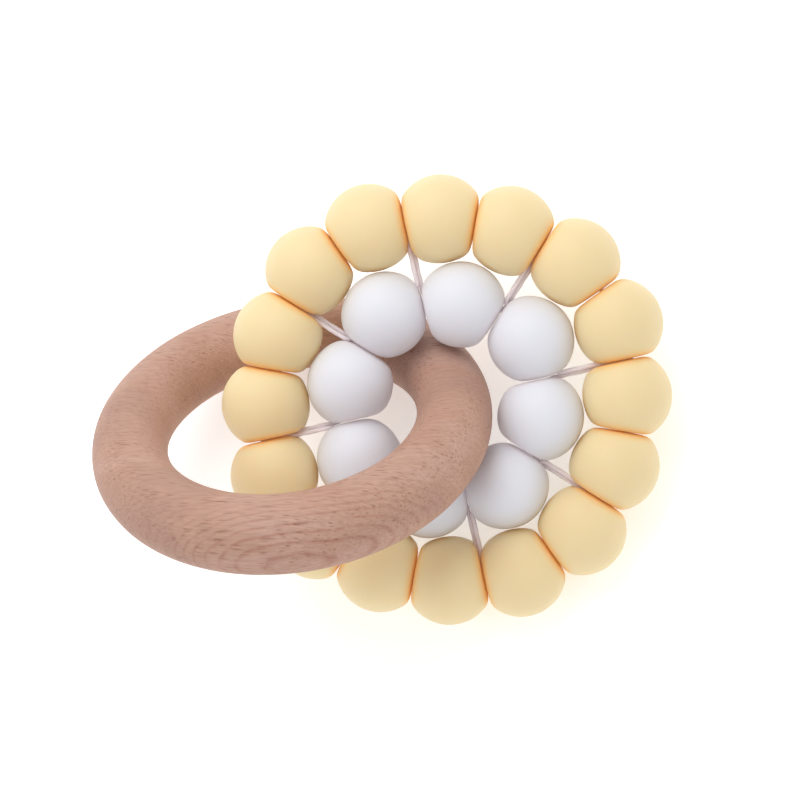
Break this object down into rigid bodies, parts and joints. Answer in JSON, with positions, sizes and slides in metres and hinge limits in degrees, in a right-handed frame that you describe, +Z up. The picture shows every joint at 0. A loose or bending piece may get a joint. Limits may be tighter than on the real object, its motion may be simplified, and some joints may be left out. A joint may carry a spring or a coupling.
{
  "type": "teething ring",
  "caption": "Round beech ring linked through a flat double ring of squeezed silicone beads, pale yellow outside and white inside, laced on one cord with radial spokes.",
  "frame": {"origin": "centre of the bounding box at table height", "axes": "+Z up from the table the set lies on, +X along its longest extent"},
  "size_m": [0.0966, 0.0742, 0.0478],
  "materials": {
    "beech": "smooth sanded, unvarnished",
    "yellow_silicone": "matte silicone",
    "white_silicone": "matte silicone",
    "nylon_cord": "satin twisted nylon"
  },
  "bodies": {
    "bead_loop": {"stringing_cord": "nylon_cord"},
    "wood_ring": {"wood_ring": "beech"},
    "outer_bead_01": {"outer_bead_01": "yellow_silicone"},
    "outer_bead_02": {"outer_bead_02": "yellow_silicone"},
    "outer_bead_03": {"outer_bead_03": "yellow_silicone"},
    "outer_bead_04": {"outer_bead_04": "yellow_silicone"},
    "outer_bead_05": {"outer_bead_05": "yellow_silicone"},
    "outer_bead_06": {"outer_bead_06": "yellow_silicone"},
    "outer_bead_07": {"outer_bead_07": "yellow_silicone"},
    "outer_bead_08": {"outer_bead_08": "yellow_silicone"},
    "outer_bead_09": {"outer_bead_09": "yellow_silicone"},
    "outer_bead_10": {"outer_bead_10": "yellow_silicone"},
    "outer_bead_11": {"outer_bead_11": "yellow_silicone"},
    "outer_bead_12": {"outer_bead_12": "yellow_silicone"},
    "outer_bead_13": {"outer_bead_13": "yellow_silicone"},
    "outer_bead_14": {"outer_bead_14": "yellow_silicone"},
    "outer_bead_15": {"outer_bead_15": "yellow_silicone"},
    "outer_bead_16": {"outer_bead_16": "yellow_silicone"},
    "inner_bead_01": {"inner_bead_01": "white_silicone"},
    "inner_bead_02": {"inner_bead_02": "white_silicone"},
    "inner_bead_03": {"inner_bead_03": "white_silicone"},
    "inner_bead_04": {"inner_bead_04": "white_silicone"},
    "inner_bead_05": {"inner_bead_05": "white_silicone"},
    "inner_bead_06": {"inner_bead_06": "white_silicone"},
    "inner_bead_07": {"inner_bead_07": "white_silicone"},
    "inner_bead_08": {"inner_bead_08": "white_silicone"}
  },
  "joints": [
    {"name": "wood_ring_swing", "type": "hinge", "parent": "bead_loop", "child": "wood_ring", "pos_m": [0.01058, 0, 0.01736], "axis": [-0.9529, -0.1742, 0.2482], "range_deg": [0, 66]},
    {"name": "outer_bead_01_twist", "type": "hinge", "parent": "bead_loop", "child": "outer_bead_01", "pos_m": [0.04063, 0.0001, 0.0121], "axis": [0.0421, 0.9651, 0.2584], "range_deg": [-4, 4], "stiffness_Nm_per_rad": 0.002},
    {"name": "outer_bead_02_twist", "type": "hinge", "parent": "bead_loop", "child": "outer_bead_02", "pos_m": [0.03994, 0.0118, 0.01544], "axis": [-0.338, 0.8904, 0.3048], "range_deg": [-4, 4], "stiffness_Nm_per_rad": 0.002},
    {"name": "outer_bead_03_twist", "type": "hinge", "parent": "bead_loop", "child": "outer_bead_03", "pos_m": [0.03361, 0.02171, 0.01929], "axis": [-0.6667, 0.6801, 0.3048], "range_deg": [-4, 4], "stiffness_Nm_per_rad": 0.002},
    {"name": "outer_bead_04_twist", "type": "hinge", "parent": "bead_loop", "child": "outer_bead_04", "pos_m": [0.02327, 0.02723, 0.02263], "axis": [-0.8939, 0.3663, 0.2584], "range_deg": [-4, 4], "stiffness_Nm_per_rad": 0.002},
    {"name": "outer_bead_05_twist", "type": "hinge", "parent": "bead_loop", "child": "outer_bead_05", "pos_m": [0.01187, 0.02944, 0.02525], "axis": [-0.985, -0.0033, 0.1727], "range_deg": [-4, 4], "stiffness_Nm_per_rad": 0.002},
    {"name": "outer_bead_06_twist", "type": "hinge", "parent": "bead_loop", "child": "outer_bead_06", "pos_m": [-0.00013, 0.02823, 0.02703], "axis": [-0.9261, -0.3723, 0.0606], "range_deg": [-4, 4], "stiffness_Nm_per_rad": 0.002},
    {"name": "outer_bead_07_twist", "type": "hinge", "parent": "bead_loop", "child": "outer_bead_07", "pos_m": [-0.01055, 0.02156, 0.02703], "axis": [-0.7263, -0.6847, -0.0606], "range_deg": [-4, 4], "stiffness_Nm_per_rad": 0.002},
    {"name": "outer_bead_08_twist", "type": "hinge", "parent": "bead_loop", "child": "outer_bead_08", "pos_m": [-0.01668, 0.01117, 0.02525], "axis": [-0.4158, -0.8929, -0.1727], "range_deg": [-4, 4], "stiffness_Nm_per_rad": 0.002},
    {"name": "outer_bead_09_twist", "type": "hinge", "parent": "bead_loop", "child": "outer_bead_09", "pos_m": [-0.01946, -0.0001, 0.02263], "axis": [-0.0421, -0.9651, -0.2584], "range_deg": [-4, 4], "stiffness_Nm_per_rad": 0.002},
    {"name": "outer_bead_10_twist", "type": "hinge", "parent": "bead_loop", "child": "outer_bead_10", "pos_m": [-0.01877, -0.0118, 0.01929], "axis": [0.338, -0.8904, -0.3048], "range_deg": [-4, 4], "stiffness_Nm_per_rad": 0.002},
    {"name": "outer_bead_11_twist", "type": "hinge", "parent": "bead_loop", "child": "outer_bead_11", "pos_m": [-0.01244, -0.02171, 0.01544], "axis": [0.6667, -0.6801, -0.3048], "range_deg": [-4, 4], "stiffness_Nm_per_rad": 0.002},
    {"name": "outer_bead_12_twist", "type": "hinge", "parent": "bead_loop", "child": "outer_bead_12", "pos_m": [-0.0021, -0.02723, 0.0121], "axis": [0.8939, -0.3663, -0.2584], "range_deg": [-4, 4], "stiffness_Nm_per_rad": 0.002},
    {"name": "outer_bead_13_twist", "type": "hinge", "parent": "bead_loop", "child": "outer_bead_13", "pos_m": [0.0093, -0.02944, 0.00948], "axis": [0.985, 0.0033, -0.1727], "range_deg": [-4, 4], "stiffness_Nm_per_rad": 0.002},
    {"name": "outer_bead_14_twist", "type": "hinge", "parent": "bead_loop", "child": "outer_bead_14", "pos_m": [0.0213, -0.02823, 0.0077], "axis": [0.9261, 0.3723, -0.0606], "range_deg": [-4, 4], "stiffness_Nm_per_rad": 0.002},
    {"name": "outer_bead_15_twist", "type": "hinge", "parent": "bead_loop", "child": "outer_bead_15", "pos_m": [0.03172, -0.02156, 0.0077], "axis": [0.7263, 0.6847, 0.0606], "range_deg": [-4, 4], "stiffness_Nm_per_rad": 0.002},
    {"name": "outer_bead_16_twist", "type": "hinge", "parent": "bead_loop", "child": "outer_bead_16", "pos_m": [0.03785, -0.01117, 0.00948], "axis": [0.4158, 0.8929, 0.1727], "range_deg": [-4, 4], "stiffness_Nm_per_rad": 0.002},
    {"name": "inner_bead_01_twist", "type": "hinge", "parent": "bead_loop", "child": "inner_bead_01", "pos_m": [0.02648, -0.00307, 0.01371], "axis": [0.2335, 0.9472, 0.2198], "range_deg": [-4, 4], "stiffness_Nm_per_rad": 0.002},
    {"name": "inner_bead_02_twist", "type": "hinge", "parent": "bead_loop", "child": "inner_bead_02", "pos_m": [0.02566, 0.00965, 0.01736], "axis": [-0.5122, 0.8006, 0.3108], "range_deg": [-4, 4], "stiffness_Nm_per_rad": 0.002},
    {"name": "inner_bead_03_twist", "type": "hinge", "parent": "bead_loop", "child": "inner_bead_03", "pos_m": [0.01446, 0.01572, 0.02101], "axis": [-0.9578, 0.1851, 0.2198], "range_deg": [-4, 4], "stiffness_Nm_per_rad": 0.002},
    {"name": "inner_bead_04_twist", "type": "hinge", "parent": "bead_loop", "child": "inner_bead_04", "pos_m": [0.00142, 0.01433, 0.02293], "axis": [-0.8424, -0.5389, 0], "range_deg": [-4, 4], "stiffness_Nm_per_rad": 0.002},
    {"name": "inner_bead_05_twist", "type": "hinge", "parent": "bead_loop", "child": "inner_bead_05", "pos_m": [-0.00532, 0.00307, 0.02101], "axis": [-0.2335, -0.9472, -0.2198], "range_deg": [-4, 4], "stiffness_Nm_per_rad": 0.002},
    {"name": "inner_bead_06_twist", "type": "hinge", "parent": "bead_loop", "child": "inner_bead_06", "pos_m": [-0.00449, -0.00965, 0.01736], "axis": [0.5122, -0.8006, -0.3108], "range_deg": [-4, 4], "stiffness_Nm_per_rad": 0.002},
    {"name": "inner_bead_07_twist", "type": "hinge", "parent": "bead_loop", "child": "inner_bead_07", "pos_m": [0.00671, -0.01572, 0.01371], "axis": [0.9578, -0.1851, -0.2198], "range_deg": [-4, 4], "stiffness_Nm_per_rad": 0.002},
    {"name": "inner_bead_08_twist", "type": "hinge", "parent": "bead_loop", "child": "inner_bead_08", "pos_m": [0.01975, -0.01433, 0.0118], "axis": [0.8424, 0.5389, 0], "range_deg": [-4, 4], "stiffness_Nm_per_rad": 0.002}
  ]
}
